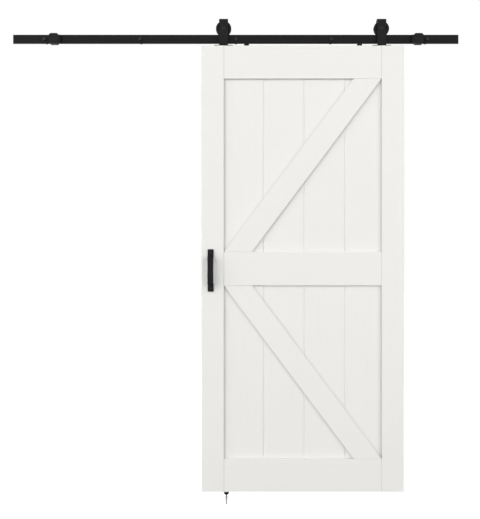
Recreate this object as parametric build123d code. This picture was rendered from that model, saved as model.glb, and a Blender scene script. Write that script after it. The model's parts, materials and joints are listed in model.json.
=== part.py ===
from build123d import *
import math
import os

# A framed and boarded white door leaf that rolls on two grooved wheels along a flat black wall rail.
# All sizes are in millimetres. X runs along the rail, +Y points into the wall and +Z points up.
# The origin is on the wall plane, behind the middle fixing, level with the rail's centre line.

# Rail: one flat bar on edge
rail_length = 2000.0
rail_height = 40.0
rail_thickness = 6.0
rail_edge_break = 0.6

# Fixings that hold the rail off the wall
fixing_count = 5
fixing_margin = 140.0
spacer_length = 38.0
spacer_diameter = 22.0
spacer_edge_break = 1.0
bolt_thread_diameter = 8.0
bolt_shank_diameter = 7.2
bolt_hole_clearance = 0.4
bolt_head_flats = 13.0
bolt_head_height = 5.3
bolt_head_chamfer = 0.8
bolt_thread_setback = 1.0
bolt_thread_length = 11.0
bolt_point_length = 8.0
washer_diameter = 18.0
washer_thickness = 1.6

# End stops: a block clamped round the rail, with a rubber pad on its inner side
stop_left_inset = 184.8
stop_right_inset = 181.0
stop_width = 42.0
stop_height = 48.0
stop_front_depth = 14.0
stop_back_depth = 4.0
stop_chamfer = 6.0
stop_edge_break = 1.0
stop_window_clearance = 0.2
stop_screw_diameter = 5.0
stop_screw_spacing = 22.0
stop_screw_socket = 2.5
stop_screw_socket_depth = 2.0
bumper_length = 10.0
bumper_depth = 12.0
bumper_height = 34.0
bumper_corner = 3.0
bumper_front_inset = 0.8

# Leaf and its frame
leaf_width = 905.0
leaf_height = 1995.0
leaf_thickness = 40.0
leaf_drop = 13.3
leaf_rest_x = 299.5
stile_width = 100.0
top_rail_width = 148.0
middle_rail_width = 150.0
bottom_rail_width = 148.0
frame_edge_break = 1.0
dowel_diameter = 10.0
dowel_length = 60.0
dowel_inset = 50.0
dowel_fit = 0.05
dowel_end_gap = 0.5

# Boarded panel: tongued and grooved boards with a V along each joint
board_count = 4
board_thickness = 18.0
board_pitch = 182.0
board_joint_shift = 7.0
board_gap = 0.3
board_v = 3.0
tongue_thickness = 6.0
tongue_length = 6.0
tongue_clearance = 0.15
housing_depth = 10.0
housing_clearance = 0.1
housing_end_gap = 0.8

# Diagonal braces, flush with the frame
brace_width = 100.0
brace_gap = 0.3
brace_edge_break = 0.8

# Wheels and their bearings
tread_radius = 26.5
flange_radius = 34.4
wheel_width = 16.0
tread_side_clearance = 0.6
groove_flare = 1.4
wheel_running_gap = 0.25
wheel_edge_radius = 1.2
wheel_recess_outer_radius = 24.5
wheel_recess_inner_radius = 16.5
wheel_recess_depth = 2.5
bearing_diameter = 26.0
bearing_width = 8.0
bearing_fit = 0.02
bearing_lip = 2.0
bearing_ring_wall = 2.6
bearing_shield_depth = 0.5
axle_running_fit = 0.05

# Hangers: a flat strap bent over the wheel, with a foot plate on the leaf's top edge
hanger_inset = 98.3
strap_width = 40.0
strap_thickness = 4.0
strap_gap = 24.0
strap_bend_radius = 6.0
strap_headroom = 4.7
back_leg_below_axle = 22.5
back_leg_corner = 8.0
foot_length = 90.0
foot_thickness = 4.0
foot_corner = 12.0
weld_radius = 3.0

# Axles
axle_diameter = 10.0
axle_hole_clearance = 0.2
axle_head_diameter = 16.0
axle_head_height = 5.0
axle_socket = 6.0
axle_socket_depth = 2.5
axle_tail = 2.0
axle_thread_fit = 0.05
nut_flats = 17.0
nut_height = 8.0
nut_chamfer = 1.0
sleeve_diameter = 14.0
sleeve_side_gap = 0.3

# Countersunk screws through the foot plates
foot_screw_diameter = 6.0
foot_screw_head = 11.0
foot_screw_length = 40.0
foot_screw_offset = 33.0

# Discs on the leaf's top edge that keep the wheels from lifting off the rail
disc_left_inset = 201.5
disc_right_inset = 196.0
disc_diameter = 24.0
disc_rail_gap = 2.0
disc_edge_radius = 2.5
disc_screw_diameter = 5.0
disc_screw_head = 10.0
disc_screw_length = 36.0

# Pull handle: one bent flat bar
handle_edge_inset = 41.0
handle_drop = 1005.0
handle_width = 26.0
handle_thickness = 5.0
handle_grip_length = 123.0
handle_foot_length = 33.0
handle_projection = 38.0
handle_bend_radius = 3.0
handle_foot_corner = 3.0
handle_screw_diameter = 5.0
handle_screw_head = 10.0
handle_screw_head_height = 2.6
handle_screw_length = 30.0
handle_screw_end_offset = 15.0

# Floor guide, which stands in a groove along the leaf's bottom edge
guide_inset = 111.0
floor_gap = 15.8
guide_collar_gap = 1.8
guide_spigot_diameter = 12.0
guide_spigot_rise = 13.0
guide_side_clearance = 0.4
guide_groove_depth = 16.0
guide_collar_diameter = 22.8
guide_collar_height = 9.5
guide_foot_diameter = 19.0
guide_screw_diameter = 7.0
guide_screw_head = 10.0
guide_screw_length = 68.0
plug_recess = 9.4
plug_length = 36.0
plug_top_diameter = 12.0
plug_tip_diameter = 9.0
plug_rib_count = 6
plug_rib_depth = 0.6
plug_slot_width = 1.2

# Forms shared by screws
screw_fit = 0.02
screw_point_share = 1.6
dome_rim_share = 0.25

# Places that follow from the sizes above
rail_front_y = -spacer_length - rail_thickness
rail_middle_y = -spacer_length - rail_thickness / 2
leaf_top_z = -rail_height / 2 - leaf_drop
half_thickness = leaf_thickness / 2
stile_inner_x = leaf_width / 2 - stile_width
opening_height = (leaf_height - top_rail_width - middle_rail_width - bottom_rail_width) / 2
upper_opening = (-top_rail_width - opening_height, -top_rail_width)
lower_opening = (bottom_rail_width - leaf_height, bottom_rail_width - leaf_height + opening_height)
wheel_z = rail_height / 2 + wheel_running_gap + tread_radius
strap_inner_y = strap_gap / 2
strap_outer_y = strap_gap / 2 + strap_thickness
hanger_offset = leaf_width / 2 - hanger_inset
disc_places = {-1: disc_left_inset - leaf_width / 2, 1: leaf_width / 2 - disc_right_inset}
disc_height = leaf_drop - disc_rail_gap
handle_x = handle_edge_inset - leaf_width / 2
handle_screw_z = handle_grip_length / 2 + handle_foot_length - handle_screw_end_offset
guide_x = leaf_rest_x - leaf_width / 2 + guide_inset
floor_z = leaf_top_z - leaf_height - floor_gap
guide_collar_z = leaf_top_z - leaf_height - guide_collar_gap
guide_top_z = leaf_top_z - leaf_height + guide_spigot_rise
stop_places = {-1: stop_left_inset - rail_length / 2, 1: rail_length / 2 - stop_right_inset}
stop_back_y = stop_back_depth - spacer_length
side_names = {-1: "left", 1: "right"}


# Shared shapes

def block(x_range, y_range, z_range):
    """A box between two x, two y and two z values."""
    sizes = [high - low for low, high in (x_range, y_range, z_range)]
    centre = [(high + low) / 2 for low, high in (x_range, y_range, z_range)]
    return Pos(*centre) * Box(*sizes)


def centred(size):
    """The two ends of a span of this size about zero."""
    return (-size / 2, size / 2)


def turned(points):
    """A solid turned about Z from an outline of radius and height pairs."""
    return revolve(Plane.XZ * make_face(Polyline(*points, close=True)), Axis.Z)


def rod(diameter, low, high):
    """A round bar on Z between two heights."""
    return Pos(0, 0, (low + high) / 2) * Cylinder(diameter / 2, high - low)


def facing_room(shape, x, y, z):
    """Turns a shape made along Z so that its top faces the room, and puts it in place."""
    return Pos(x, y, z) * Rot(90, 0, 0) * shape


def in_leaf(shape):
    """Moves a shape from the leaf's own place, below the middle of its top edge, to its place at rest."""
    return Pos(leaf_rest_x, rail_middle_y, leaf_top_z) * shape


def hex_prism(flats, low, high):
    """A hexagonal bar on Z between two heights."""
    outline = RegularPolygon(flats / 2, 6, major_radius=False)
    return Pos(0, 0, low) * extrude(outline, amount=high - low)


def hex_head(flats, height, chamfer_size):
    """A hexagonal head on Z whose upper corners are turned off."""
    across_corners = flats / math.cos(math.pi / 6)
    round_blank = rod(across_corners, 0, height)
    rim = round_blank.edges().filter_by(GeomType.CIRCLE).sort_by(Axis.Z)[-1]
    return hex_prism(flats, 0, height) & chamfer(rim, chamfer_size)


def socket(flats, top, depth):
    """The hexagonal recess that a key turns, cut down from a height."""
    return hex_prism(flats, top - depth, top)


def flat_screw(diameter, head, length, fit=0.0):
    """A countersunk wood screw on Z, head flush at zero and point down. A fit makes it the hole's shape."""
    radius = diameter / 2 + fit
    head_radius = head / 2 + fit
    end = length + fit
    return turned([
        (0, 0),
        (head_radius, 0),
        (radius, radius - head_radius),
        (radius, diameter * screw_point_share - end),
        (0, -end),
    ])


# Rail and what holds it

def fixing_places():
    """Places along the rail where a bolt and a spacer hold it off the wall."""
    pitch = (rail_length - 2 * fixing_margin) / (fixing_count - 1)
    return [fixing_margin - rail_length / 2 + i * pitch for i in range(fixing_count)]


def bolt_hole_diameter():
    """The through hole for a wall bolt, which its thread has to pass."""
    return bolt_thread_diameter + bolt_hole_clearance


def track_rail():
    """The flat bar, drilled for the wall bolts, with its long edges eased."""
    bar = block(centred(rail_length), (rail_front_y, -spacer_length), centred(rail_height))
    bar = chamfer(bar.edges().filter_by(Axis.X), rail_edge_break)
    for x in fixing_places():
        bar -= facing_room(rod(bolt_hole_diameter(), -rail_thickness, rail_thickness), x, rail_middle_y, 0)
    return bar


def wall_spacer(x):
    """A turned distance tube between the wall and the rail."""
    tube = rod(spacer_diameter, 0, spacer_length)
    tube = chamfer(tube.edges().filter_by(GeomType.CIRCLE), spacer_edge_break)
    tube -= rod(bolt_hole_diameter(), 0, spacer_length)
    return facing_room(tube, x, 0, 0)


def bolt_washer(x):
    """The flat washer under a wall bolt's head."""
    ring = rod(washer_diameter, 0, washer_thickness) - rod(bolt_hole_diameter(), 0, washer_thickness)
    return facing_room(ring, x, rail_front_y, 0)


def lag_bolt(x):
    """A hex-headed wall bolt: reduced shank through the spacer, then thread and point in the wall."""
    head_seat = spacer_length + rail_thickness + washer_thickness
    thread_end = -bolt_thread_setback - bolt_thread_length
    screw = turned([
        (0, head_seat),
        (bolt_shank_diameter / 2, head_seat),
        (bolt_shank_diameter / 2, -bolt_thread_setback),
        (bolt_thread_diameter / 2, -bolt_thread_setback),
        (bolt_thread_diameter / 2, thread_end),
        (0, thread_end - bolt_point_length),
    ])
    head = Pos(0, 0, head_seat) * hex_head(bolt_head_flats, bolt_head_height, bolt_head_chamfer)
    return facing_room(screw + head, x, 0, 0)


# End stops

def stop_screw_places(side):
    """Places of the two set screws in a stop's back wall."""
    return [stop_places[side] + offset for offset in centred(stop_screw_spacing)]


def stop_block(side):
    """The block that the rail passes through, with cut corners and set screw holes."""
    front_y = rail_front_y - stop_front_depth
    body = block(centred(stop_width), (front_y, stop_back_y), centred(stop_height))
    body = chamfer(body.edges().filter_by(Axis.Y), stop_chamfer)
    body = chamfer(body.faces().sort_by(Axis.Y)[0].edges(), stop_edge_break)
    body = Pos(stop_places[side], 0, 0) * body
    window_y = (rail_front_y - stop_window_clearance, stop_window_clearance - spacer_length)
    window_z = centred(rail_height + 2 * stop_window_clearance)
    body -= block(centred(2 * rail_length), window_y, window_z)
    for x in stop_screw_places(side):
        hole = rod(stop_screw_diameter + 2 * screw_fit, -stop_back_depth, stop_back_depth)
        body -= facing_room(hole, x, stop_back_y, 0)
    return body


def stop_screw(x):
    """A headless set screw that bears on the rail's back face."""
    screw = rod(stop_screw_diameter, 0, stop_back_depth)
    screw -= socket(stop_screw_socket, stop_screw_socket_depth, stop_screw_socket_depth)
    return facing_room(screw, x, stop_back_y, 0)


def bumper(side):
    """The rubber pad on a stop's inner side, in front of the rail, where the strap's edge meets it."""
    face_x = stop_places[side] - side * stop_width / 2
    front_y = rail_front_y - stop_front_depth + stop_edge_break + bumper_front_inset
    x_range = sorted((face_x, face_x - side * bumper_length))
    pad = block(x_range, (front_y, front_y + bumper_depth), centred(bumper_height))
    free_end = pad.faces().sort_by(Axis.X)[0 if side > 0 else -1]
    return fillet(free_end.edges(), bumper_corner)


# Leaf frame

def frame_members():
    """The x and z spans of the stiles and rails, by name."""
    edge = leaf_width / 2
    across = (-stile_inner_x, stile_inner_x)
    return {
        "stile_left": ((-edge, -stile_inner_x), (-leaf_height, 0)),
        "stile_right": ((stile_inner_x, edge), (-leaf_height, 0)),
        "rail_top": (across, (upper_opening[1], 0)),
        "rail_middle": (across, (lower_opening[1], upper_opening[0])),
        "rail_bottom": (across, (-leaf_height, lower_opening[0])),
    }


def frame_blank(x_range, z_range):
    """A stile or rail with its four long edges eased."""
    bar = block(x_range, centred(leaf_thickness), z_range)
    is_upright = z_range[1] - z_range[0] > x_range[1] - x_range[0]
    return chamfer(bar.edges().filter_by(Axis.Z if is_upright else Axis.X), frame_edge_break)


def panel_housing(opening):
    """The groove round one opening that takes the edges of the boards, as one slab to cut with."""
    reach = 2 * (stile_inner_x + housing_depth)
    z_range = (opening[0] - housing_depth, opening[1] + housing_depth)
    return block(centred(reach), centred(board_thickness + 2 * housing_clearance), z_range)


def guide_groove():
    """The groove along the bottom edge that the floor guide stands in."""
    width = guide_spigot_diameter + 2 * guide_side_clearance
    z_range = (-leaf_height, guide_groove_depth - leaf_height)
    return block(centred(leaf_width), centred(width), z_range)


def dowel_places():
    """Centres of the dowels across each joint between a rail and a stile."""
    rails = [spans[1] for name, spans in frame_members().items() if name.startswith("rail")]
    heights = [z for low, high in rails for z in (low + dowel_inset, high - dowel_inset)]
    return [(side * stile_inner_x, z) for side in side_names for z in heights]


def dowel(x, z, diameter, length):
    """A round dowel, or its hole, lying along X about a joint."""
    return Pos(x, 0, z) * Rot(0, 90, 0) * Cylinder(diameter / 2, length)


def frame_dowels():
    """Every dowel of the frame."""
    return [dowel(x, z, dowel_diameter, dowel_length) for x, z in dowel_places()]


def dowel_holes():
    """The holes for the dowels, with glue room at both ends."""
    diameter = dowel_diameter + 2 * dowel_fit
    length = dowel_length + 2 * dowel_end_gap
    return [dowel(x, z, diameter, length) for x, z in dowel_places()]


def frame_parts():
    """The stiles and rails, grooved for the boards and the floor guide and drilled for all fixings."""
    cutters = [panel_housing(upper_opening), panel_housing(lower_opening), guide_groove()]
    cutters += dowel_holes()
    cutters += leaf_screws(screw_fit)
    return {name: frame_blank(*spans) - cutters for name, spans in frame_members().items()}


# Boards and braces

def board_lines():
    """x of the panel's two edges and of the joints between its boards, from left to right."""
    reach = stile_inner_x + housing_depth - housing_end_gap
    joints = [board_joint_shift + (k - board_count / 2) * board_pitch for k in range(1, board_count)]
    return [-reach, *joints, reach]


def board(index, opening):
    """One board: a V and a groove on its left edge, a V and a tongue on its right, plain where housed."""
    lines = board_lines()
    has_groove = index > 0
    has_tongue = index < board_count - 1
    left = lines[index] + (board_gap / 2 if has_groove else 0)
    right = lines[index + 1] - (board_gap / 2 if has_tongue else 0)
    end = housing_depth - housing_end_gap
    z_range = (opening[0] - end, opening[1] + end)
    body = block((left, right), centred(board_thickness), z_range)
    edges = body.edges().filter_by(Axis.Z).sort_by(Axis.X)
    v_edges = (edges[:2] if has_groove else []) + (edges[2:] if has_tongue else [])
    body = chamfer(v_edges, board_v)
    if has_groove:
        groove = centred(tongue_thickness + 2 * tongue_clearance)
        body -= block((left, left + tongue_length), groove, z_range)
    if has_tongue:
        body += block((right, right + tongue_length), centred(tongue_thickness), z_range)
    return body


def brace_cut(width, height):
    """How long a brace's level cut is when its two edges run corner to corner of an opening."""
    diagonal = math.sqrt(height**2 + width**2 - brace_width**2)
    return (brace_width * height * diagonal - brace_width**2 * width) / (height**2 - brace_width**2)


def brace(opening, rises, is_front):
    """A diagonal board on the panel, from the left stile's middle end out to the right stile."""
    reach = stile_inner_x - brace_gap
    low, high = opening[0] + brace_gap, opening[1] - brace_gap
    cut = brace_cut(2 * reach, high - low)
    near, far = (low, high) if rises else (high, low)
    corners = [(-reach, near), (cut - reach, near), (reach, far), (reach - cut, far)]
    outline = make_face(Polyline(*corners, close=True))
    depth = half_thickness - board_thickness / 2
    start = board_thickness / 2 if is_front else -half_thickness
    body = extrude(Plane.XZ.offset(start) * outline, amount=depth, dir=Plane.XZ.z_dir)
    shown_face = body.faces().sort_by(Axis.Y)[0 if is_front else -1]
    return chamfer(shown_face.edges(), brace_edge_break)


# Fixings into the leaf

def hanger_screw_places():
    """Places of the screws in the foot plates, from the leaf's middle."""
    return [side * hanger_offset + offset for side in side_names for offset in centred(2 * foot_screw_offset)]


def hanger_screw(x, fit=0.0):
    """A screw down through a foot plate, or its hole."""
    return Pos(x, 0, foot_thickness) * flat_screw(
        foot_screw_diameter, foot_screw_head, foot_screw_length, fit
    )


def disc_screw(x, fit=0.0):
    """A screw down through a disc, or its hole."""
    return Pos(x, 0, disc_height) * flat_screw(disc_screw_diameter, disc_screw_head, disc_screw_length, fit)


def button_screw(fit=0.0):
    """A screw on Z with a low domed head seated at zero, or its hole."""
    radius = handle_screw_diameter / 2 + fit
    end = handle_screw_length + fit
    point_start = handle_screw_diameter * screw_point_share - end
    shank = turned([(0, 0), (radius, 0), (radius, point_start), (0, -end)])
    return shank + dome(handle_screw_head, handle_screw_head_height)


def dome(diameter, height):
    """A low domed head standing on zero: a disc capped by part of a sphere."""
    cap = height * (1 - dome_rim_share)
    sphere_radius = ((diameter / 2) ** 2 + cap**2) / (2 * cap)
    return rod(diameter, 0, height) & Pos(0, 0, height - sphere_radius) * Sphere(sphere_radius)


def handle_screw(end, fit=0.0):
    """A screw through the upper (1) or lower (-1) foot of the handle, or its hole."""
    place = (handle_x, -half_thickness - handle_thickness, end * handle_screw_z - handle_drop)
    return facing_room(button_screw(fit), *place)


def leaf_screws(fit):
    """Every screw that goes into the leaf, or all their holes."""
    screws = [hanger_screw(x, fit) for x in hanger_screw_places()]
    screws += [disc_screw(disc_places[side], fit) for side in side_names]
    screws += [handle_screw(end, fit) for end in (-1, 1)]
    return screws


# Hangers and wheels, made about the wheel's place on the rail: x and y from its middle, z from the leaf's top

def hanger_strap():
    """The strap over the wheel: a full front leg, two tight bends and a short back leg."""
    top = wheel_z - leaf_top_z + flange_radius + strap_headroom + strap_thickness
    bend = strap_bend_radius + strap_thickness
    outside = block(centred(strap_width), centred(2 * strap_outer_y), (foot_thickness, top))
    outside = fillet(outside.edges().filter_by(Axis.X).group_by(Axis.Z)[-1], bend)
    inside = block(centred(strap_width), centred(strap_gap), (foot_thickness, top - strap_thickness))
    inside = fillet(inside.edges().filter_by(Axis.X).group_by(Axis.Z)[-1], strap_bend_radius)
    leg_end = wheel_z - leaf_top_z - back_leg_below_axle
    strap = outside - inside
    strap -= block(centred(strap_width), (strap_inner_y, strap_outer_y), (foot_thickness, leg_end))
    low_edges = strap.edges().filter_by(Axis.Y).group_by(Axis.Z)
    back_corners = [group for group in low_edges if abs(group[0].center().Z - leg_end) < strap_thickness]
    return fillet(back_corners[0], back_leg_corner)


def hanger_foot():
    """The rounded plate that lies on the leaf's top edge."""
    plate = block(centred(foot_length), centred(2 * strap_outer_y), (0, foot_thickness))
    return fillet(plate.edges().filter_by(Axis.Z), foot_corner)


def is_weld_edge(edge):
    """Whether an edge is the inner corner between the strap and its foot plate."""
    middle = edge.center()
    at_height = abs(middle.Z - foot_thickness) < weld_radius / 2
    return at_height and abs(middle.Y + strap_inner_y) < weld_radius / 2


def hanger(side):
    """A strap welded to its foot plate, drilled for the axle and the foot screws."""
    body = hanger_strap() + hanger_foot()
    body = fillet(body.edges().filter_by(Axis.X).filter_by(is_weld_edge), weld_radius)
    axle_hole = rod(axle_diameter + 2 * axle_hole_clearance, -strap_gap, strap_gap)
    body -= facing_room(axle_hole, 0, 0, wheel_z - leaf_top_z)
    body = Pos(side * hanger_offset, 0, 0) * body
    return in_leaf(body - [hanger_screw(x, screw_fit) for x in hanger_screw_places()])


def on_axle(shape, side):
    """Turns a shape made along Z about its middle onto a wheel's axis."""
    return facing_room(shape, leaf_rest_x + side * hanger_offset, rail_middle_y, wheel_z)


def wheel(side):
    """A grooved wheel: two flanges either side of the tread, dished faces and a seat for the bearing."""
    half = wheel_width / 2
    body = rod(2 * flange_radius, -half, half)
    body = fillet(body.edges().filter_by(GeomType.CIRCLE), wheel_edge_radius)
    tread_half = rail_thickness / 2 + tread_side_clearance
    body -= turned([
        (tread_radius, -tread_half),
        (tread_radius, tread_half),
        (flange_radius, tread_half + groove_flare),
        (flange_radius, -tread_half - groove_flare),
    ])
    for low, high in ((-half, wheel_recess_depth - half), (half - wheel_recess_depth, half)):
        dish = rod(2 * wheel_recess_outer_radius, low, high)
        body -= dish - rod(2 * wheel_recess_inner_radius, low, high)
    seat = bearing_diameter / 2 + bearing_fit
    body -= rod(2 * seat, -bearing_width / 2, half)
    body -= rod(2 * (seat - bearing_lip), -half, -bearing_width / 2)
    return on_axle(body, side)


def bearing(side):
    """A shielded ball bearing as one unit, running on the axle."""
    half = bearing_width / 2
    bore = axle_diameter / 2 + axle_running_fit
    body = rod(bearing_diameter, -half, half) - rod(2 * bore, -half, half)
    shield_outer = bearing_diameter / 2 - bearing_ring_wall
    shield_inner = bore + bearing_ring_wall
    for low, high in ((-half, bearing_shield_depth - half), (half - bearing_shield_depth, half)):
        body -= rod(2 * shield_outer, low, high) - rod(2 * shield_inner, low, high)
    return on_axle(body, side)


def axle_bolt(side):
    """The bolt that the wheel turns on, with a domed socket head at the front."""
    end = -strap_outer_y - nut_height - axle_tail
    body = rod(axle_diameter, end, strap_outer_y)
    body += Pos(0, 0, strap_outer_y) * dome(axle_head_diameter, axle_head_height)
    top = strap_outer_y + axle_head_height
    return on_axle(body - socket(axle_socket, top, axle_socket_depth), side)


def axle_nut(side):
    """The hexagon nut behind the strap's back leg."""
    body = hex_head(nut_flats, nut_height, nut_chamfer)
    body -= rod(axle_diameter + 2 * axle_thread_fit, 0, nut_height)
    return on_axle(Pos(0, 0, -strap_outer_y) * Rot(180, 0, 0) * body, side)


def axle_sleeves(side):
    """The two distance sleeves that centre the bearing between the strap's legs."""
    near = bearing_width / 2 + sleeve_side_gap
    bore = axle_diameter + 2 * axle_thread_fit
    front = rod(sleeve_diameter, near, strap_inner_y) - rod(bore, near, strap_inner_y)
    return [on_axle(front, side), on_axle(mirror(front, Plane.XY), side)]


def anti_jump_disc(side):
    """A moulded disc with a rounded rim, screwed to the leaf's top edge just under the rail."""
    body = rod(disc_diameter, 0, disc_height)
    rim = body.edges().filter_by(GeomType.CIRCLE).sort_by(Axis.Z)[-1]
    body = Pos(disc_places[side], 0, 0) * fillet(rim, disc_edge_radius)
    return in_leaf(body - disc_screw(disc_places[side], screw_fit))


# Handle

def pull_handle():
    """A flat bar bent out from two feet, each with a screw hole."""
    foot_y = -half_thickness - handle_thickness / 2
    grip_y = -half_thickness - handle_projection + handle_thickness / 2
    leg_z = (handle_grip_length - handle_thickness) / 2
    end_z = handle_grip_length / 2 + handle_foot_length
    half_path = [(foot_y, end_z), (foot_y, leg_z), (grip_y, leg_z)]
    points = half_path + [(y, -z) for y, z in reversed(half_path)]
    line = FilletPolyline(*[(0, y, z) for y, z in points], radius=handle_bend_radius + handle_thickness / 2)
    start = Plane(origin=line @ 0, x_dir=(1, 0, 0), z_dir=line % 0)
    bar = sweep(start * Rectangle(handle_width, handle_thickness), path=line)
    outer_z = end_z - handle_thickness
    ends = bar.edges().filter_by(Axis.Y).filter_by(lambda edge: abs(edge.center().Z) > outer_z)
    bar = Pos(handle_x, 0, -handle_drop) * fillet(ends, handle_foot_corner)
    return in_leaf(bar - [handle_screw(end, screw_fit) for end in (-1, 1)])


# Floor guide

def guide_screw(fit=0.0):
    """The long countersunk screw down the middle of the guide, or its hole."""
    return Pos(guide_x, rail_middle_y, guide_top_z) * flat_screw(
        guide_screw_diameter, guide_screw_head, guide_screw_length, fit
    )


def floor_guide():
    """A turned guide: small foot on the floor, flared collar under the leaf and a spigot up its groove."""
    foot = guide_foot_diameter / 2
    collar = guide_collar_diameter / 2
    spigot = guide_spigot_diameter / 2
    body = turned([
        (0, floor_z),
        (foot, floor_z),
        (collar, guide_collar_z - guide_collar_height),
        (collar, guide_collar_z),
        (spigot, guide_collar_z),
        (spigot, guide_top_z),
        (0, guide_top_z),
    ])
    return Pos(guide_x, rail_middle_y, 0) * body - guide_screw(screw_fit)


def guide_plug():
    """A ribbed and slotted wall plug that the guide's screw bites in."""
    taper = (plug_top_diameter - plug_tip_diameter) / 2
    rib = plug_length / plug_rib_count
    outline = [(0, 0)]
    for i in range(plug_rib_count):
        radius = plug_top_diameter / 2 - taper * i / plug_rib_count
        outline.append((radius, -i * rib))
        outline.append((radius - plug_rib_depth, -(i + 1) * rib))
    outline.append((0, -plug_length))
    slot_z = (-plug_length, -plug_length / 2)
    body = turned(outline)
    body -= block(centred(2 * plug_top_diameter), centred(plug_slot_width), slot_z)
    body = Pos(guide_x, rail_middle_y, floor_z - plug_recess) * body
    return body - guide_screw(screw_fit)


# All pieces by name

def track_nodes():
    """Everything that stays with the building."""
    nodes = {"track_rail": track_rail()}
    for number, x in enumerate(fixing_places(), start=1):
        nodes[f"wall_spacer_{number}"] = wall_spacer(x)
    nodes["lag_bolts"] = [lag_bolt(x) for x in fixing_places()]
    nodes["bolt_washers"] = [bolt_washer(x) for x in fixing_places()]
    for side, name in side_names.items():
        nodes[f"stop_block_{name}"] = stop_block(side)
        nodes[f"stop_bumper_{name}"] = bumper(side)
    nodes["stop_screws"] = [stop_screw(x) for side in side_names for x in stop_screw_places(side)]
    nodes["floor_guide"] = floor_guide()
    nodes["guide_screw"] = guide_screw()
    nodes["guide_plug"] = guide_plug()
    return nodes


def leaf_nodes():
    """The wooden leaf: frame, boards, braces and dowels."""
    nodes = frame_parts()
    openings = {"upper": (upper_opening, True), "lower": (lower_opening, False)}
    for level, (opening, rises) in openings.items():
        for index in range(board_count):
            nodes[f"board_{level}_{index + 1}"] = board(index, opening)
        for face in ("front", "back"):
            nodes[f"brace_{level}_{face}"] = brace(opening, rises, face == "front")
    nodes["frame_dowels"] = frame_dowels()
    return {name: moved_group(shape) for name, shape in nodes.items()}


def moved_group(shape):
    """Moves one shape, or each shape of a list, from the leaf's own place to its place at rest."""
    return [in_leaf(one) for one in shape] if isinstance(shape, list) else in_leaf(shape)


def fitting_nodes():
    """The fittings that travel with the leaf, and the wheels with their bearings."""
    nodes = {"pull_handle": pull_handle()}
    nodes["handle_screws"] = moved_group([handle_screw(end) for end in (-1, 1)])
    nodes["hanger_screws"] = moved_group([hanger_screw(x) for x in hanger_screw_places()])
    nodes["disc_screws"] = moved_group([disc_screw(disc_places[side]) for side in side_names])
    for side, name in side_names.items():
        nodes[f"hanger_{name}"] = hanger(side)
        nodes[f"axle_bolt_{name}"] = axle_bolt(side)
        nodes[f"axle_nut_{name}"] = axle_nut(side)
        nodes[f"axle_sleeves_{name}"] = axle_sleeves(side)
        nodes[f"anti_jump_disc_{name}"] = anti_jump_disc(side)
        nodes[f"wheel_{name}"] = wheel(side)
        nodes[f"bearing_{name}"] = bearing(side)
    return nodes


def write_all(nodes):
    """Writes each piece, or group of like pieces, to its own file."""
    os.makedirs("parts", exist_ok=True)
    for name, shape in nodes.items():
        whole = Compound(children=shape) if isinstance(shape, list) else shape
        export_step(whole, f"parts/{name}.step")


write_all({**track_nodes(), **leaf_nodes(), **fitting_nodes()})
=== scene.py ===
import json
import math

import bmesh
import bpy
from mathutils import Matrix, Vector


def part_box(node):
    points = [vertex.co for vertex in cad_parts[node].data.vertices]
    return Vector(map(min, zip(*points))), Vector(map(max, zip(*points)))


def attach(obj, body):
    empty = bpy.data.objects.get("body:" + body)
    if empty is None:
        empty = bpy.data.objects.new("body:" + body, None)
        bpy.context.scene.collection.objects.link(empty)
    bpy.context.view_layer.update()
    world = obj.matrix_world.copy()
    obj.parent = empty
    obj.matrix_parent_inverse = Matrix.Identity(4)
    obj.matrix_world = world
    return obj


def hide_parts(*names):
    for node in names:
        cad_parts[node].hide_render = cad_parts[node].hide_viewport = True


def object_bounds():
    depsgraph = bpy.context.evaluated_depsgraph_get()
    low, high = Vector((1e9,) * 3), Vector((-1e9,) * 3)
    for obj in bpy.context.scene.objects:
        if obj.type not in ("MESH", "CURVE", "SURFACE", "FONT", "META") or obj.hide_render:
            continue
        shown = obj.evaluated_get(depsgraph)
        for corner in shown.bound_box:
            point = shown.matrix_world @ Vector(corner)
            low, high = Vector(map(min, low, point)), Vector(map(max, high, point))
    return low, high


# A white boarded sliding door on a black wall rail, seen square on against plain white.
# All sizes are in metres. X runs along the rail, +Y points into the wall and +Z points up.

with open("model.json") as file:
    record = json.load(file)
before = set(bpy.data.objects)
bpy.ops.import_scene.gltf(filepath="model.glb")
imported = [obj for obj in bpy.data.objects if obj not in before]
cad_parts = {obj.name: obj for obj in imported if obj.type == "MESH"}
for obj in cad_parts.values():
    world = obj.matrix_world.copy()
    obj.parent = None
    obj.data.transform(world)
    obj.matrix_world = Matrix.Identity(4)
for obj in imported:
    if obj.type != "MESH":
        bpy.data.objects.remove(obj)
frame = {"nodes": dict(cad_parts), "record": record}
cad_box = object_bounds()

# Camera
CAMERA_PLACE = (0.0189, -3.2815, -0.9895)
LENS = 50
SENSOR = 36

# Floor and light
FLOOR_DROP = 0.42
FLOOR_SIZE = 60.0
FLOOR_COLOUR = 0.12
FLOOR_GLOW = 0.75
WORLD_LIGHT = 0.50
WORLD_ZENITH = 0.45
KEY_PLACE = (-6.0, -6.2, 0.3)
KEY_SIZE = 11.0
KEY_POWER = 845
FILL_PLACE = (5.0, -5.0, -0.4)
FILL_SIZE = 6.5
FILL_POWER = 272
RIM_PLACE = (-1.8, 5.6, 0.9)
RIM_SIZE = 4.5
RIM_POWER = 255
LIGHT_AIM = (0.15, -0.04, -1.0)

# Turned pieces
SEGMENTS = 36
SMOOTH_ANGLE = math.radians(32)
ROWS_PER_PITCH = 8

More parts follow.
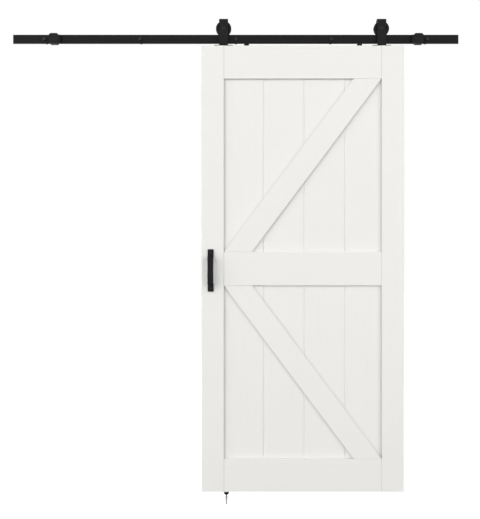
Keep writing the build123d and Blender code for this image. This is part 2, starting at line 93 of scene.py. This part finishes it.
# Screws and bolts
FOOT_SCREW = {"diameter": 0.006, "head": 0.011, "length": 0.040, "socket": 0.0030, "pitch": 0.0026}
DISC_SCREW = {"diameter": 0.005, "head": 0.010, "length": 0.036, "socket": 0.0028, "pitch": 0.0022}
GUIDE_SCREW = {"diameter": 0.007, "head": 0.010, "length": 0.068, "socket": 0.0028, "pitch": 0.0028}
HANDLE_SCREW = {"diameter": 0.005, "head": 0.010, "length": 0.030, "socket": 0.0030, "pitch": 0.0022}
HANDLE_HEAD_HEIGHT = 0.0026
FOOT_SCREW_OFFSET = 0.033
FOOT_THICKNESS = 0.004
HANDLE_SCREW_INSET = 0.015
LAG_HEAD_FLATS = 0.013
LAG_HEAD_HEIGHT = 0.0053
LAG_SHANK = 0.0072
LAG_THREAD = 0.008
LAG_THREAD_PITCH = 0.0032
LAG_WASHER = 0.0016
LAG_THREAD_LENGTH = 0.011
LAG_POINT = 0.008
AXLE_DIAMETER = 0.010
AXLE_HEAD = 0.016
AXLE_HEAD_HEIGHT = 0.005
AXLE_SOCKET = 0.006
AXLE_SOCKET_DEPTH = 0.0025
AXLE_THREAD_PITCH = 0.0015
AXLE_THREAD_LENGTH = 0.012

# Proportions of fasteners, as shares of a radius, diameter, head or length
SHANK_SHARE = 0.86
CORE_SHARE = 0.68
POINT_SHARE = 1.6
PLAIN_SHARE = 0.4
DOME_SHARE = 0.75
RIM_SHARE = 0.75
AXLE_RIM_SHARE = 0.66
FINE_CORE_SHARE = 0.86
FINE_END_SHARE = 0.80
COARSE_CORE_SHARE = 0.66

# Small steps along fasteners
UNDER_HEAD = 0.004
THREAD_START = 0.0002
BOLT_CHAMFER = 0.0008
WALL_SETBACK = 0.001

# Grain, pebble and other patterns, in cycles to a metre
GRAIN_ACROSS = 95.0
GRAIN_ALONG = 3.2
CLOUD_SCALE = 1.4
STIPPLE_SCALE = 620.0
PEBBLE_SCALE = 850.0
PATCH_SCALE = 26.0
SKIN_SCALE = 1400.0
FLOW_SCALE = 60.0
TURNING_SCALE = (900.0, 60.0, 900.0)
FLECK_SCALE = (40.0, 700.0, 700.0)

# Painted shade in grooves and inner corners, from ambient occlusion, and hairlines over joints
CORNER_REACH = 0.045
BOARD_REACH = 0.014
CORNER_SHADE = 0.78
BOARD_SHADE = 0.8
GROOVE_EDGE = 0.0001
GROOVE_FADE = 0.0004
SEAM_HALF = 0.001
SEAM_CORE = 0.0006
SEAM_SHADE = 0.66

# Colours as screen values, set so that the render shows the photograph's tones
PAINT = (244, 243, 240)
STEEL = (22, 22, 22)
RAIL_STEEL = (15, 15, 15)
NYLON = (17, 17, 17)
RUBBER = (14, 14, 14)
PLUG = (190, 190, 192)
BEARING = (150, 150, 152)
BEECH = (214, 180, 138)


# Colour and node helpers

def linear(colour):
    """A colour written as 0 to 255 screen values, in the light values that shaders take."""
    values = []
    for level in colour:
        c = level / 255
        values.append(c / 12.92 if c <= 0.04045 else ((c + 0.055) / 1.055) ** 2.4)
    return (*values, 1.0)


class Tree:
    """A material's node tree with short calls for the nodes used here."""

    def __init__(self, name):
        self.material = bpy.data.materials.new(name)
        self.material.use_nodes = True
        self.nodes = self.material.node_tree.nodes
        self.links = self.material.node_tree.links
        self.shader = self.nodes["Principled BSDF"]
        self.place = self.nodes.new("ShaderNodeTexCoord").outputs["Object"]

    def set(self, socket, value):
        """Sets one of the shader's own sockets, by link or by value."""
        if isinstance(value, bpy.types.NodeSocket):
            self.links.new(value, self.shader.inputs[socket])
        else:
            self.shader.inputs[socket].default_value = value

    def mapped(self, scale, turn=0.0):
        """The piece's own coordinates, turned about Y and then stretched."""
        spin = self.nodes.new("ShaderNodeMapping")
        spin.inputs["Rotation"].default_value = (0, turn, 0)
        self.links.new(self.place, spin.inputs["Vector"])
        stretch = self.nodes.new("ShaderNodeMapping")
        stretch.inputs["Scale"].default_value = scale
        self.links.new(spin.outputs["Vector"], stretch.inputs["Vector"])
        return stretch.outputs["Vector"]

    def noise(self, vector, scale=1.0, detail=3.0, roughness=0.5, distortion=0.0):
        """Noise over a vector, as a value about 0.5."""
        node = self.nodes.new("ShaderNodeTexNoise")
        node.inputs["Scale"].default_value = scale
        node.inputs["Detail"].default_value = detail
        node.inputs["Roughness"].default_value = roughness
        node.inputs["Distortion"].default_value = distortion
        self.links.new(vector, node.inputs["Vector"])
        return node.outputs["Fac"]

    def span(self, value, low, high, to_low, to_high):
        """A value moved from one range to another, clamped at its ends."""
        node = self.nodes.new("ShaderNodeMapRange")
        node.inputs["From Min"].default_value = low
        node.inputs["From Max"].default_value = high
        node.inputs["To Min"].default_value = to_low
        node.inputs["To Max"].default_value = to_high
        self.links.new(value, node.inputs["Value"])
        return node.outputs["Result"]

    def blend(self, factor, first, second):
        """A colour between two."""
        node = self.nodes.new("ShaderNodeMix")
        node.data_type = "RGBA"
        self.links.new(factor, node.inputs["Factor"])
        for socket, colour in ((node.inputs["A"], first), (node.inputs["B"], second)):
            if isinstance(colour, bpy.types.NodeSocket):
                self.links.new(colour, socket)
            else:
                socket.default_value = colour
        return next(s for s in node.outputs if s.type == "RGBA")

    def corners(self, reach):
        """Painted shade: 1 on open faces, falling towards 0 in grooves and inner corners, from ambient
        occlusion.
        """
        node = self.nodes.new("ShaderNodeAmbientOcclusion")
        node.samples = 8
        node.inputs["Distance"].default_value = reach
        return self.span(node.outputs["AO"], 0.25, 0.95, 0.0, 1.0)

    def from_plane(self, axis, place):
        """The distance from a plane across an axis of the piece's own coordinates."""
        split = self.nodes.new("ShaderNodeSeparateXYZ")
        self.links.new(self.place, split.inputs[0])
        return self.compute("ABSOLUTE", self.compute("SUBTRACT", split.outputs[axis], place))

    def compute(self, work, first, second=None):
        """One step of arithmetic on a value."""
        node = self.nodes.new("ShaderNodeMath")
        node.operation = work
        self.links.new(first, node.inputs[0])
        if isinstance(second, bpy.types.NodeSocket):
            self.links.new(second, node.inputs[1])
        elif second is not None:
            node.inputs[1].default_value = second
        return node.outputs[0]

    def bump(self, height, depth, strength=1.0, under=None):
        """A bump of this depth, on top of another if one is given."""
        node = self.nodes.new("ShaderNodeBump")
        node.inputs["Distance"].default_value = depth
        node.inputs["Strength"].default_value = strength
        self.links.new(height, node.inputs["Height"])
        if under is not None:
            self.links.new(under, node.inputs["Normal"])
        return node.outputs["Normal"]


def shade(colour, share):
    """A linear colour made darker or lighter by a share."""
    return (*(min(1.0, c * share) for c in colour[:3]), 1.0)


# Materials

def painted_wood(name, grain, turn=0.0, seams=(), core=None):
    """Satin white paint through which the grain just shows, darkened in grooves and inner corners as
    painted shade.

    grain is the axis it runs along, and seams are places in X where the paint has a hairline over a joint.
    Boards give their core, a middle in Y and a half thickness, inside which their grooves get no painted
    shade.
    """
    tree = Tree(name)
    scale = tuple(GRAIN_ALONG if axis == grain else GRAIN_ACROSS for axis in "XYZ")
    fibres = tree.noise(tree.mapped(scale, turn), 1.0, 4.0, 0.6, 0.35)
    cloud = tree.noise(tree.mapped((CLOUD_SCALE,) * 3, turn), 1.0, 2.0, 0.5)
    stipple = tree.noise(tree.mapped((STIPPLE_SCALE,) * 3), 1.0, 2.0, 0.6)
    base = linear(PAINT)
    worn = tree.blend(tree.span(fibres, 0.36, 0.50, 0.0, 1.0), shade(base, 0.987), base)
    clouded = tree.blend(tree.span(cloud, 0.35, 0.65, 0.0, 1.0), worn, shade(base, 0.988))
    # Painted shade: ambient occlusion darkens the paint in inner corners, with a short reach on boards and
    # none inside their grooves.
    if core is None:
        corner, painted_shade_share = tree.corners(CORNER_REACH), CORNER_SHADE
    else:
        painted_shade_share = BOARD_SHADE
        middle_y, half = core
        depth = tree.from_plane("Y", middle_y)
        edge = half - GROOVE_EDGE
        in_groove = tree.span(depth, edge - GROOVE_FADE, edge, 1.0, 0.0)
        corner = tree.compute("MAXIMUM", tree.corners(BOARD_REACH), in_groove)
    colour = tree.blend(corner, shade(base, painted_shade_share), clouded)
    for x in seams:
        off_line = tree.span(tree.from_plane("X", x), SEAM_CORE, SEAM_HALF, 0.0, 1.0)
        colour = tree.blend(off_line, shade(base, SEAM_SHADE), colour)
    tree.set("Base Color", colour)
    tree.set("Roughness", tree.span(stipple, 0.3, 0.7, 0.40, 0.52))
    grain_bump = tree.bump(fibres, 0.00030, 0.45)
    tree.set("Normal", tree.bump(stipple, 0.00006, 0.5, grain_bump))
    tree.shader.inputs["Specular IOR Level"].default_value = 0.4
    return tree.material


def powder_coat(name, colour, low=0.50, high=0.66, gloss=0.12):
    """Matte black powder coat on steel, with its fine pebbled skin. Bolts are a little glossier."""
    tree = Tree(name)
    pebble = tree.noise(tree.mapped((PEBBLE_SCALE,) * 3), 1.0, 3.0, 0.65)
    patches = tree.noise(tree.mapped((PATCH_SCALE,) * 3), 1.0, 3.0, 0.5)
    base = linear(colour)
    patchy = tree.span(patches, 0.35, 0.65, 0.0, 1.0)
    tree.set("Base Color", tree.blend(patchy, shade(base, 0.82), shade(base, 1.18)))
    tree.set("Roughness", tree.span(pebble, 0.3, 0.7, low, high))
    tree.set("Normal", tree.bump(pebble, 0.00012, 0.6))
    tree.shader.inputs["Specular IOR Level"].default_value = gloss
    return tree.material


def moulded(name, colour, low, high, pebble_depth):
    """Moulded plastic or rubber with a fine matte skin."""
    tree = Tree(name)
    skin = tree.noise(tree.mapped((SKIN_SCALE,) * 3), 1.0, 2.0, 0.6)
    flow = tree.noise(tree.mapped((FLOW_SCALE,) * 3), 1.0, 3.0, 0.5)
    base = linear(colour)
    streaks = tree.span(flow, 0.35, 0.65, 0.0, 1.0)
    tree.set("Base Color", tree.blend(streaks, shade(base, 0.9), shade(base, 1.1)))
    tree.set("Roughness", tree.span(skin, 0.3, 0.7, low, high))
    tree.set("Normal", tree.bump(skin, pebble_depth, 0.5))
    tree.shader.inputs["Specular IOR Level"].default_value = 0.15
    return tree.material


def ground_steel():
    """Ground bearing steel with fine turning marks."""
    tree = Tree("ground_steel")
    marks = tree.noise(tree.mapped(TURNING_SCALE), 1.0, 2.0, 0.5)
    base = linear(BEARING)
    tree.set("Base Color", tree.blend(marks, shade(base, 0.85), shade(base, 1.1)))
    tree.set("Roughness", tree.span(marks, 0.3, 0.7, 0.28, 0.42))
    tree.shader.inputs["Metallic"].default_value = 1.0
    return tree.material


def bare_beech():
    """Unpainted beech with its short flecks, for the hidden dowels."""
    tree = Tree("bare_beech")
    fibres = tree.noise(tree.mapped(FLECK_SCALE), 1.0, 3.0, 0.6)
    base = linear(BEECH)
    tree.set("Base Color", tree.blend(fibres, shade(base, 0.75), shade(base, 1.1)))
    tree.set("Roughness", 0.62)
    tree.set("Normal", tree.bump(fibres, 0.0001, 0.5))
    return tree.material


def dress(node, material):
    """Gives a CAD node its finish."""
    for held in frame["nodes"][node].material_slots:
        held.material = material


def dress_leaf():
    """Paints the leaf, with the grain along each member."""
    seams = (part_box("stile_left")[1].x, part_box("stile_right")[0].x)
    board_low, board_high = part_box("board_upper_1")
    core = ((board_low.y + board_high.y) / 2, (board_high.y - board_low.y) / 2)
    upright = painted_wood("white_paint_upright", "Z", seams=seams)
    boarding = painted_wood("white_paint_boards", "Z", core=core)
    level = painted_wood("white_paint_level", "X", seams=seams)
    low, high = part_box("brace_upper_front")
    rise = math.atan2(high.z - low.z, high.x - low.x)
    rising = painted_wood("white_paint_rising", "X", rise)
    falling = painted_wood("white_paint_falling", "X", -rise)
    finishes = {
        "stile": upright,
        "board": boarding,
        "rail": level,
        "brace_upper": rising,
        "brace_lower": falling,
    }
    for node in frame["nodes"]:
        for start, material in finishes.items():
            if node.startswith(start):
                dress(node, material)
    dress("frame_dowels", bare_beech())


def dress_hardware():
    """Gives the metal, plastic and rubber pieces their finishes, by the record's slots."""
    finishes = {
        "black_steel": powder_coat("black_powder_coat", STEEL),
        "black_nylon": moulded("black_nylon", NYLON, 0.62, 0.78, 0.00005),
        "rubber": moulded("black_rubber", RUBBER, 0.62, 0.80, 0.00008),
        "grey_nylon": moulded("grey_nylon", PLUG, 0.40, 0.55, 0.00005),
        "bearing_steel": ground_steel(),
    }
    for row in frame["record"]["subparts"]:
        if row["material_slot"] in finishes:
            dress(row["node"], finishes[row["material_slot"]])
    dress("track_rail", powder_coat("black_rail_coat", RAIL_STEEL))
    bolt_coat = powder_coat("black_bolt_coat", STEEL, 0.38, 0.50, 0.24)
    for node in ("bolt_washers", "axle_nut_left", "axle_nut_right"):
        dress(node, bolt_coat)
    return bolt_coat


# Turned and threaded fasteners

def hex_radius(flats, angle):
    """How far a hexagon's edge is from its middle at an angle."""
    sixth = math.pi / 3
    return flats / 2 / math.cos((angle + sixth / 2) % sixth - sixth / 2)


def wave(turns):
    """A thread's profile, 0 at the root and 1 at the crest, over one turn."""
    part = turns % 1.0
    return max(0.0, 1.0 - abs(part - 0.5) / 0.32)


def round_ring(height, radius):
    """A plain ring of a turned piece."""
    return [(radius * math.cos(a), radius * math.sin(a), height) for a in ring_angles()]


def hex_ring(height, flats):
    """A hexagonal ring."""
    ring = []
    for angle in ring_angles():
        radius = hex_radius(flats, angle)
        ring.append((radius * math.cos(angle), radius * math.sin(angle), height))
    return ring


def ring_angles():
    """The angles that every ring's points stand at."""
    return [2 * math.pi * i / SEGMENTS for i in range(SEGMENTS)]


def thread_rings(top, bottom, pitch, core, crest, fade=0.0):
    """Rings of a screw thread from top down to bottom, tapered to a point over its last part, fade long."""
    rows = max(2, round((top - bottom) / pitch * ROWS_PER_PITCH))
    rings = []
    for row in range(rows + 1):
        height = top + (bottom - top) * row / rows
        left = height - bottom
        size = min(1.0, max(0.06, left / fade)) if fade else 1.0
        ring = []
        for angle in ring_angles():
            lift = (crest - core) * wave(height / pitch - angle / (2 * math.pi))
            radius = (core + lift) * size
            ring.append((radius * math.cos(angle), radius * math.sin(angle), height))
        rings.append(ring)
    return rings


def skin(rings):
    """A closed mesh through rings, top first, as a bmesh."""
    mesh = bmesh.new()
    loops = [[mesh.verts.new(p) for p in ring] for ring in rings]
    for upper, lower in zip(loops, loops[1:]):
        for i in range(SEGMENTS):
            j = (i + 1) % SEGMENTS
            mesh.faces.new((upper[i], lower[i], lower[j], upper[j]))
    for loop, flip in ((loops[0], False), (loops[-1], True)):
        centre = mesh.verts.new(sum((v.co for v in loop), Vector()) / SEGMENTS)
        for i in range(SEGMENTS):
            j = (i + 1) % SEGMENTS
            mesh.faces.new((loop[j], loop[i], centre) if flip else (loop[i], loop[j], centre))
    return mesh


def socket_rings(top, flats, depth, rim):
    """The rings of a hexagon recess in a head's top, from its floor up and out to the rim."""
    return [hex_ring(top - depth, flats * 0.9), hex_ring(top - depth, flats), hex_ring(top, flats), rim]


def screw_thread(spec, top):
    """A wood screw's thread and point, from top down."""
    radius = spec["diameter"] / 2
    point = spec["diameter"] * POINT_SHARE
    return thread_rings(top, -spec["length"], spec["pitch"], radius * CORE_SHARE, radius, point)


def countersunk_rings(spec):
    """A countersunk wood screw, its head's top at zero and its point down."""
    radius = spec["diameter"] / 2
    head = spec["head"] / 2
    cone = head - radius
    rings = socket_rings(-0.00005, spec["socket"], cone * 0.75, round_ring(-0.00005, head * 0.96))
    shank = radius * SHANK_SHARE
    rings += [round_ring(-0.0003, head * 0.995), round_ring(-cone, shank)]
    plain = -spec["length"] * PLAIN_SHARE
    rings.append(round_ring(plain, shank))
    return rings + screw_thread(spec, plain - THREAD_START)


def dome_rings(top, outer, inner, rise, steps):
    """The rings of a domed head from its socket's rim out to its edge, which lies rise below top."""
    sphere = (outer * outer + rise * rise) / (2 * rise)
    rings = []
    for step in range(steps + 1):
        r = inner + (outer - inner) * step / steps
        rings.append(round_ring(top - sphere + math.sqrt(sphere * sphere - r * r), r))
    return rings


def button_rings(spec, head_height):
    """A screw with a low domed head seated at zero."""
    radius = spec["diameter"] / 2
    head = spec["head"] / 2
    dome = dome_rings(head_height, head, spec["socket"] * RIM_SHARE, head_height * DOME_SHARE, 5)
    rings = socket_rings(dome[0][0][2], spec["socket"], head_height * 0.6, dome[0]) + dome[1:]
    shank = radius * SHANK_SHARE
    rings += [round_ring(0.0, head), round_ring(0.0, shank), round_ring(-UNDER_HEAD, shank)]
    return rings + screw_thread(spec, -UNDER_HEAD - THREAD_START)


def lag_rings(seat):
    """A coach bolt: hexagon head, plain shank and coarse thread. The wall plane is at zero."""
    top = seat + LAG_HEAD_HEIGHT
    shank = LAG_SHANK / 2
    rings = [
        round_ring(top, LAG_HEAD_FLATS / 2 * 0.93),
        hex_ring(top - BOLT_CHAMFER, LAG_HEAD_FLATS),
        hex_ring(seat, LAG_HEAD_FLATS),
        round_ring(seat, shank),
        round_ring(-WALL_SETBACK, shank),
    ]
    end = -WALL_SETBACK - LAG_THREAD_LENGTH - LAG_POINT
    start = -WALL_SETBACK - THREAD_START
    crest = LAG_THREAD / 2
    return rings + thread_rings(start, end, LAG_THREAD_PITCH, crest * COARSE_CORE_SHARE, crest, LAG_POINT)


def axle_rings(front, end):
    """An axle bolt: domed socket head, plain bearing shank and a fine thread at its tail."""
    head = AXLE_HEAD / 2
    top = front + AXLE_HEAD_HEIGHT
    dome = dome_rings(top, head, AXLE_SOCKET * AXLE_RIM_SHARE, AXLE_HEAD_HEIGHT * DOME_SHARE, 7)
    radius = AXLE_DIAMETER / 2
    rings = socket_rings(dome[0][0][2], AXLE_SOCKET, AXLE_SOCKET_DEPTH, dome[0]) + dome[1:]
    shank_end = end + AXLE_THREAD_LENGTH
    rings += [round_ring(front, head), round_ring(front, radius), round_ring(shank_end, radius)]
    thread_top = shank_end - THREAD_START
    core = radius * FINE_CORE_SHARE
    rings += thread_rings(thread_top, end + BOLT_CHAMFER, AXLE_THREAD_PITCH, core, radius)
    rings.append(round_ring(end, radius * FINE_END_SHARE))
    return rings


DOWN = Matrix.Identity(4)
TO_ROOM = Matrix.Rotation(math.radians(90), 4, "X")


def fastener(name, rings, places, turn, body, replaced, material):
    """One piece made of copies of a turned fastener at several places, standing for a CAD node."""
    whole = bmesh.new()
    for place in places:
        one = skin(rings)
        bmesh.ops.transform(one, matrix=Matrix.Translation(place) @ turn, verts=one.verts)
        copy = bpy.data.meshes.new("copy")
        one.to_mesh(copy)
        one.free()
        whole.from_mesh(copy)
        bpy.data.meshes.remove(copy)
    bmesh.ops.recalc_face_normals(whole, faces=whole.faces)
    mesh = bpy.data.meshes.new(name)
    whole.to_mesh(mesh)
    whole.free()
    mesh.polygons.foreach_set("use_smooth", [True] * len(mesh.polygons))
    mesh.set_sharp_from_angle(angle=SMOOTH_ANGLE)
    mesh.materials.append(material)
    piece = bpy.data.objects.new(name, mesh)
    bpy.context.scene.collection.objects.link(piece)
    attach(piece, body)
    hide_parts(replaced)
    return piece


def middle(node):
    """The centre of a CAD node's box."""
    low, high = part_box(node)
    return (low + high) / 2


def make_fasteners(material):
    """Screws and bolts with their threads and key sockets, in place of the plain CAD ones."""
    sides = ("left", "right")
    foot_places = []
    for side in sides:
        low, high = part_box(f"hanger_{side}")
        centre = (low + high) / 2
        for way in (-1, 1):
            x = centre.x + way * FOOT_SCREW_OFFSET
            foot_places.append(Vector((x, centre.y, low.z + FOOT_THICKNESS)))
    rings = countersunk_rings(FOOT_SCREW)
    fastener("foot_plate_screws", rings, foot_places, DOWN, "door", "hanger_screws", material)

    disc_places = []
    for side in sides:
        low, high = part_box(f"anti_jump_disc_{side}")
        disc_places.append(Vector(((low.x + high.x) / 2, (low.y + high.y) / 2, high.z)))
    rings = countersunk_rings(DISC_SCREW)
    fastener("disc_fixing_screws", rings, disc_places, DOWN, "door", "disc_screws", material)

    low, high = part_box("guide_screw")
    guide_places = [Vector(((low.x + high.x) / 2, (low.y + high.y) / 2, high.z))]
    rings = countersunk_rings(GUIDE_SCREW)
    fastener("guide_fixing_screw", rings, guide_places, DOWN, "track", "guide_screw", material)

    low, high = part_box("pull_handle")
    screw_low, screw_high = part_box("handle_screws")
    seat_y = screw_low.y + HANDLE_HEAD_HEIGHT
    heights = (low.z + HANDLE_SCREW_INSET, high.z - HANDLE_SCREW_INSET)
    handle_places = [Vector(((low.x + high.x) / 2, seat_y, z)) for z in heights]
    rings = button_rings(HANDLE_SCREW, HANDLE_HEAD_HEIGHT)
    fastener("handle_fixing_screws", rings, handle_places, TO_ROOM, "door", "handle_screws", material)

    rail_low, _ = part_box("track_rail")
    wall_places = [Vector((middle(f"wall_spacer_{i}").x, 0.0, middle("track_rail").z)) for i in range(1, 6)]
    rings = lag_rings(LAG_WASHER - rail_low.y)
    fastener("coach_bolts", rings, wall_places, TO_ROOM, "track", "lag_bolts", material)

    for side in sides:
        low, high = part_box(f"axle_bolt_{side}")
        centre = middle(f"wheel_{side}")
        front = -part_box(f"hanger_{side}")[0].y
        rings = axle_rings(front + centre.y, centre.y - high.y)
        name = f"wheel_axle_{side}"
        fastener(name, rings, [centre], TO_ROOM, "door", f"axle_bolt_{side}", material)


# Stage

def camera_ray_factor(nodes, links):
    """1 for what the camera sees directly, in gloss or through glass, and 0 for light on the object."""
    path = nodes.new("ShaderNodeLightPath")
    total = None
    for name in ("Is Camera Ray", "Is Glossy Ray", "Is Transmission Ray"):
        if total is None:
            total = path.outputs[name]
            continue
        both = nodes.new("ShaderNodeMath")
        both.operation = "MAXIMUM"
        links.new(total, both.inputs[0])
        links.new(path.outputs[name], both.inputs[1])
        total = both.outputs[0]
    return total


def make_world():
    """White to the camera, and an even pale light on the object."""
    world = bpy.data.worlds.new("studio")
    world.use_nodes = True
    nodes, links = world.node_tree.nodes, world.node_tree.links
    nodes.clear()
    lit = nodes.new("ShaderNodeBackground")
    lit.inputs["Color"].default_value = (1.0, 1.0, 0.995, 1.0)
    way = nodes.new("ShaderNodeSeparateXYZ")
    links.new(nodes.new("ShaderNodeTexCoord").outputs["Generated"], way.inputs[0])
    height = nodes.new("ShaderNodeMath")
    height.operation = "ABSOLUTE"
    links.new(way.outputs["Z"], height.inputs[0])
    dim = nodes.new("ShaderNodeMapRange")
    dim.inputs["To Min"].default_value = WORLD_LIGHT
    dim.inputs["To Max"].default_value = WORLD_LIGHT * WORLD_ZENITH
    links.new(height.outputs[0], dim.inputs["Value"])
    links.new(dim.outputs["Result"], lit.inputs["Strength"])
    seen = nodes.new("ShaderNodeBackground")
    seen.inputs["Color"].default_value = (1.0, 1.0, 1.0, 1.0)
    seen.inputs["Strength"].default_value = 1.0
    mix = nodes.new("ShaderNodeMixShader")
    out = nodes.new("ShaderNodeOutputWorld")
    links.new(camera_ray_factor(nodes, links), mix.inputs["Fac"])
    links.new(lit.outputs[0], mix.inputs[1])
    links.new(seen.outputs[0], mix.inputs[2])
    links.new(mix.outputs[0], out.inputs["Surface"])
    bpy.context.scene.world = world


def make_floor():
    """A plain pale floor well below the door, white to the camera outside the object's shadow."""
    mesh = bpy.data.meshes.new("floor")
    half = FLOOR_SIZE / 2
    z = cad_box[0].z - FLOOR_DROP
    corners = [(-half, -half, z), (half, -half, z), (half, half, z), (-half, half, z)]
    mesh.from_pydata(corners, [], [(0, 1, 2, 3)])
    floor = bpy.data.objects.new("floor", mesh)
    bpy.context.scene.collection.objects.link(floor)
    material = bpy.data.materials.new("floor")
    material.use_nodes = True
    nodes, links = material.node_tree.nodes, material.node_tree.links
    nodes.clear()
    lit = nodes.new("ShaderNodeBsdfDiffuse")
    lit.inputs["Color"].default_value = (FLOOR_COLOUR, FLOOR_COLOUR, FLOOR_COLOUR, 1.0)
    pale = nodes.new("ShaderNodeBsdfDiffuse")
    pale.inputs["Color"].default_value = (0.95, 0.95, 0.95, 1.0)
    glow = nodes.new("ShaderNodeEmission")
    glow.inputs["Strength"].default_value = FLOOR_GLOW
    seen = nodes.new("ShaderNodeAddShader")
    mix = nodes.new("ShaderNodeMixShader")
    out = nodes.new("ShaderNodeOutputMaterial")
    links.new(pale.outputs[0], seen.inputs[0])
    links.new(glow.outputs[0], seen.inputs[1])
    links.new(camera_ray_factor(nodes, links), mix.inputs["Fac"])
    links.new(lit.outputs[0], mix.inputs[1])
    links.new(seen.outputs[0], mix.inputs[2])
    links.new(mix.outputs[0], out.inputs["Surface"])
    mesh.materials.append(material)


def make_lamp(name, place, size, power):
    """A square soft light that aims at the door's middle."""
    data = bpy.data.lights.new(name, "AREA")
    data.shape = "SQUARE"
    data.size = size
    data.energy = power
    lamp = bpy.data.objects.new(name, data)
    lamp.location = place
    lamp.visible_camera = False
    lamp.rotation_euler = (Vector(LIGHT_AIM) - Vector(place)).to_track_quat("-Z", "Y").to_euler()
    bpy.context.scene.collection.objects.link(lamp)


def make_camera():
    """The photograph's view: square on, at about mid height."""
    data = bpy.data.cameras.new("camera")
    data.lens = LENS
    data.sensor_width = SENSOR
    data.clip_end = 200
    camera = bpy.data.objects.new("camera", data)
    camera.location = CAMERA_PLACE
    camera.rotation_euler = (math.radians(90), 0, 0)
    bpy.context.scene.collection.objects.link(camera)
    bpy.context.scene.camera = camera


bpy.context.scene.view_settings.view_transform = "Standard"
dress_leaf()
make_fasteners(dress_hardware())
make_world()
make_floor()
make_lamp("key", KEY_PLACE, KEY_SIZE, KEY_POWER)
make_lamp("fill", FILL_PLACE, FILL_SIZE, FILL_POWER)
make_lamp("rim", RIM_PLACE, RIM_SIZE, RIM_POWER)
make_camera()
